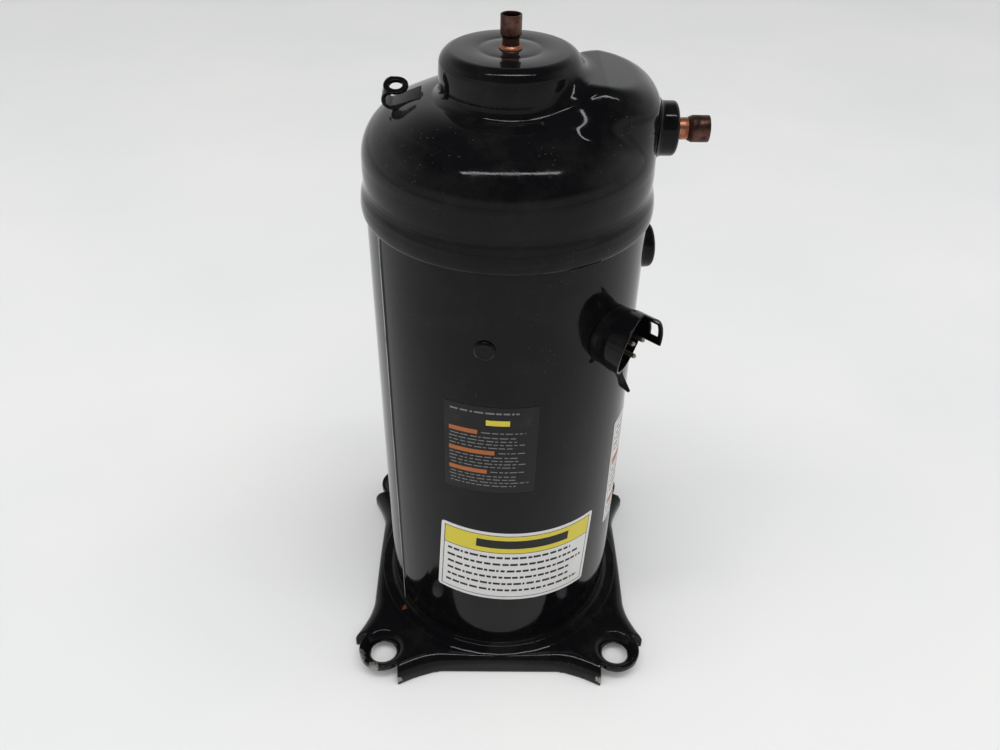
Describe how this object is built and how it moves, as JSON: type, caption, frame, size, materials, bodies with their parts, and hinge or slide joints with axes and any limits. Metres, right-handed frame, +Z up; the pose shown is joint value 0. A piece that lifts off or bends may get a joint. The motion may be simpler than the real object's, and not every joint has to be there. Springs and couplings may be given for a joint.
{
  "type": "scroll compressor",
  "caption": "Hermetic scroll compressor: upright black steel shell with a stepped cap, stamped base plate, lifting hook, copper stubs and a terminal cup.",
  "frame": {"origin": "on the floor, on the axis of the shell", "axes": "+Z up along the shell, -Y towards the front, +X towards the discharge tube"},
  "size_m": [0.2461, 0.2414, 0.4905],
  "materials": {
    "enamel": "gloss black enamel over steel",
    "copper": "copper tube, darkened by heat",
    "braze": "bright copper braze",
    "steel": "machined or pressed steel",
    "cast_iron": "machined cast iron",
    "lamination": "stacked electrical steel",
    "winding": "enamelled copper wire",
    "bronze": "bearing bronze",
    "plastic": "moulded dark plastic",
    "seal": "filled polymer seal",
    "white_label": "printed white vinyl label",
    "black_label": "printed black vinyl label"
  },
  "bodies": {
    "housing": {"base_plate": "enamel", "base_weld": "enamel", "shell_tube": "enamel", "top_cap": "enamel", "lifting_hook": "enamel", "shell_plug_weld_front": "enamel", "shell_plug_weld_rear": "enamel", "discharge_collar": "enamel", "discharge_tube": "copper", "modulation_tube": "copper", "modulation_braze": "braze", "suction_collar": "enamel", "terminal_fence": "enamel", "terminal_body": "steel", "terminal_pin_1": "steel", "terminal_pin_2": "steel", "terminal_pin_3": "steel", "terminal_plug": "plastic", "lower_label": "white_label", "upper_label": "black_label", "side_label": "white_label", "muffler_plate": "steel", "relief_valve": "bronze", "lift_cylinder": "steel", "main_bearing_housing": "cast_iron", "main_bearing": "bronze", "scroll_bolt_1": "steel", "scroll_bolt_2": "steel", "scroll_bolt_3": "steel", "scroll_bolt_4": "steel", "suction_baffle": "steel", "motor_stator": "lamination", "upper_winding": "winding", "lower_winding": "winding", "thermal_protector": "plastic", "lower_bearing_housing": "cast_iron", "lower_bearing": "bronze", "oil_magnet": "plastic"},
    "shaft": {"crankshaft": "steel", "rotor": "lamination", "upper_counterweight": "cast_iron", "lower_counterweight": "cast_iron", "drive_bushing": "steel", "oil_pickup": "steel"},
    "orbiting": {"orbiting_scroll": "cast_iron", "hub_bearing": "bronze"},
    "oldham": {"oldham_ring": "steel"},
    "upper_scroll": {"fixed_scroll": "cast_iron", "valve_retainer": "steel", "lift_piston": "steel", "piston_ring": "seal"},
    "seal": {"floating_seal": "seal"},
    "valve": {"discharge_valve": "steel"}
  },
  "joints": [
    {"name": "crankshaft_spin", "type": "hinge", "parent": "housing", "child": "shaft", "pos_m": [0, 0, 0.15], "axis": [0, 0, 1], "continuous": true},
    {"name": "orbiting_scroll_pivot", "type": "hinge", "parent": "shaft", "child": "orbiting", "pos_m": [0, 0.0043, 0.31], "axis": [0, 0, 1], "continuous": true},
    {"name": "oldham_slide", "type": "slide", "parent": "housing", "child": "oldham", "axis": [1, 0, 0], "range_m": [-0.0043, 0.0043]},
    {"name": "scroll_lift", "type": "slide", "parent": "housing", "child": "upper_scroll", "axis": [0, 0, 1], "range_m": [0, 0.001]},
    {"name": "floating_seal_lift", "type": "slide", "parent": "upper_scroll", "child": "seal", "axis": [0, 0, 1], "range_m": [0, 0.0009]},
    {"name": "discharge_valve_lift", "type": "slide", "parent": "upper_scroll", "child": "valve", "axis": [0, 0, 1], "range_m": [0, 0.0016]}
  ],
  "couplings": [
    {"joint": "orbiting_scroll_pivot", "follows": "crankshaft_spin", "ratio": -1}
  ]
}
